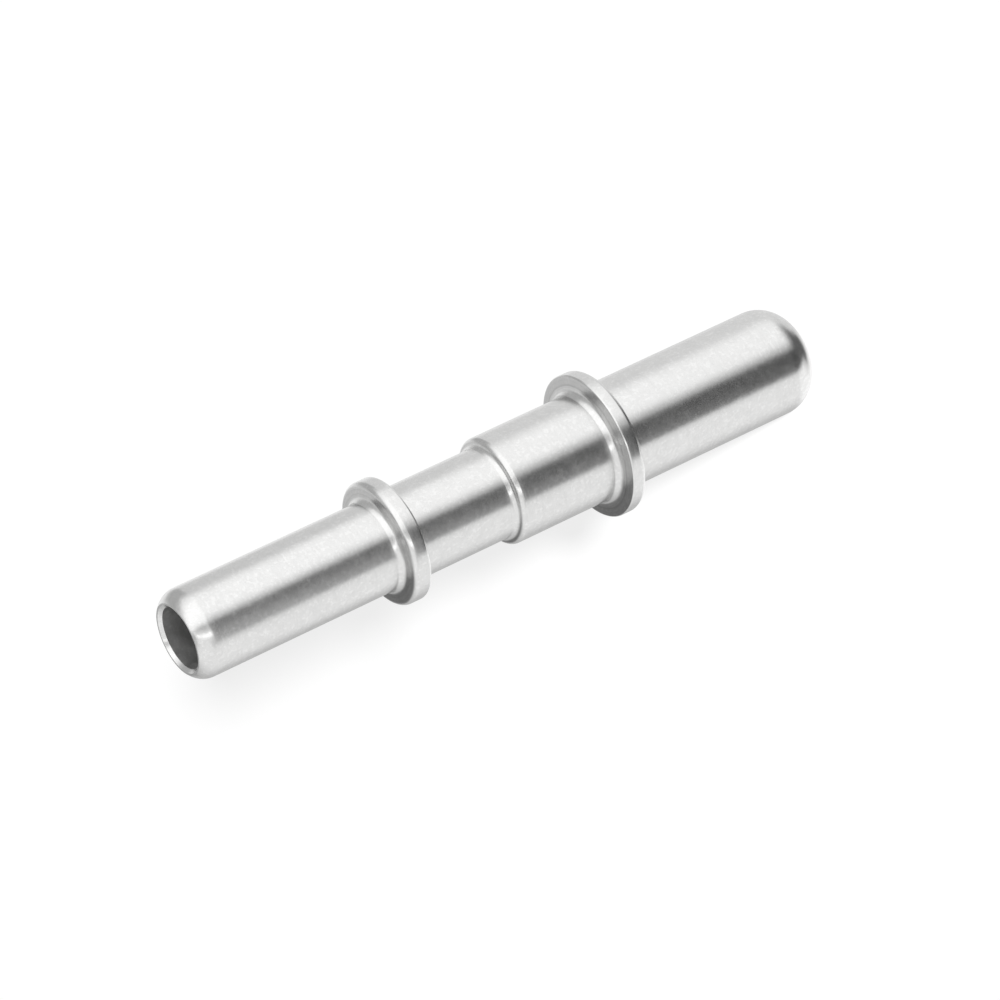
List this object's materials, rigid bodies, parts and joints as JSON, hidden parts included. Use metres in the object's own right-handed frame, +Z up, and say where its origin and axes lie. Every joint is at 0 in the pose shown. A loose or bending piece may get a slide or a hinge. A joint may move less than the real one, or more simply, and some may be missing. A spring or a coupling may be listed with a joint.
{
  "type": "male to male adapter fitting",
  "caption": "Turned metal adapter with a plain male spigot of a different diameter at each end, a collar behind each spigot, a small step between and a straight through bore.",
  "frame": {"origin": "on the fitting's axis, on the level of the large tip that the fitting stands on", "axes": "+Z up the bore, from the large spigot to the small one; +X and +Y are any two directions across it, as the fitting looks the same all round"},
  "size_m": [0.013, 0.0128, 0.0625],
  "materials": {
    "turned_metal": "bright stainless steel, fine turned with a satin, faintly mottled surface"
  },
  "bodies": {
    "root": {"fitting": "turned_metal"}
  },
  "joints": []
}
